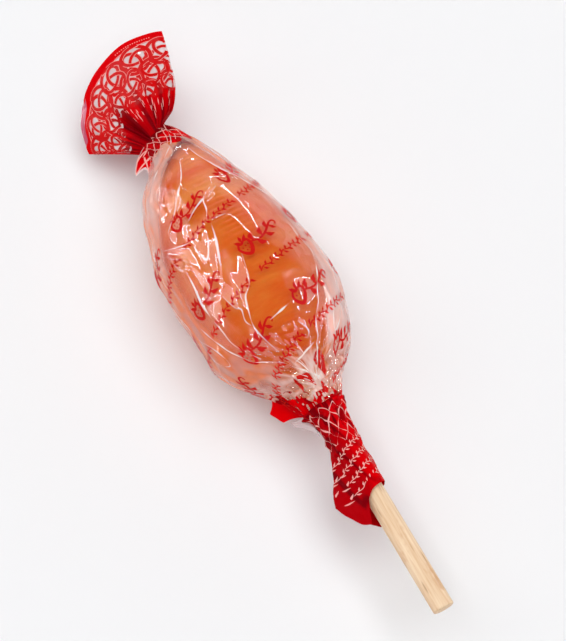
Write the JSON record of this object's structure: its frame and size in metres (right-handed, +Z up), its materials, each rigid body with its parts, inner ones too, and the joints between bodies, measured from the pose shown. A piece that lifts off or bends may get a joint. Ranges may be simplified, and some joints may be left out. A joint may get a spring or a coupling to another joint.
{
  "type": "twist-wrapped lollipop",
  "caption": "Egg-shaped boiled-sugar lollipop on a round wooden stick, twist-wrapped in clear printed film with a flat fan at its top and a skirt round the stick.",
  "frame": {"origin": "middle of the footprint, on the surface that the lollipop lies on", "axes": "+X along the stick, from the fan of film towards the stick's free end; +Z up, out of the side that is shown; +Y to the side"},
  "size_m": [0.1494, 0.0356, 0.0324],
  "materials": {
    "boiled_sugar": "clear orange boiled sugar with a rippled, glossy skin",
    "beech": "raw pale beech dowel with fine grain",
    "film": "clear glossy film printed in red"
  },
  "bodies": {
    "root": {"candy": "boiled_sugar", "stick": "beech", "wrapper": "film"}
  },
  "joints": []
}
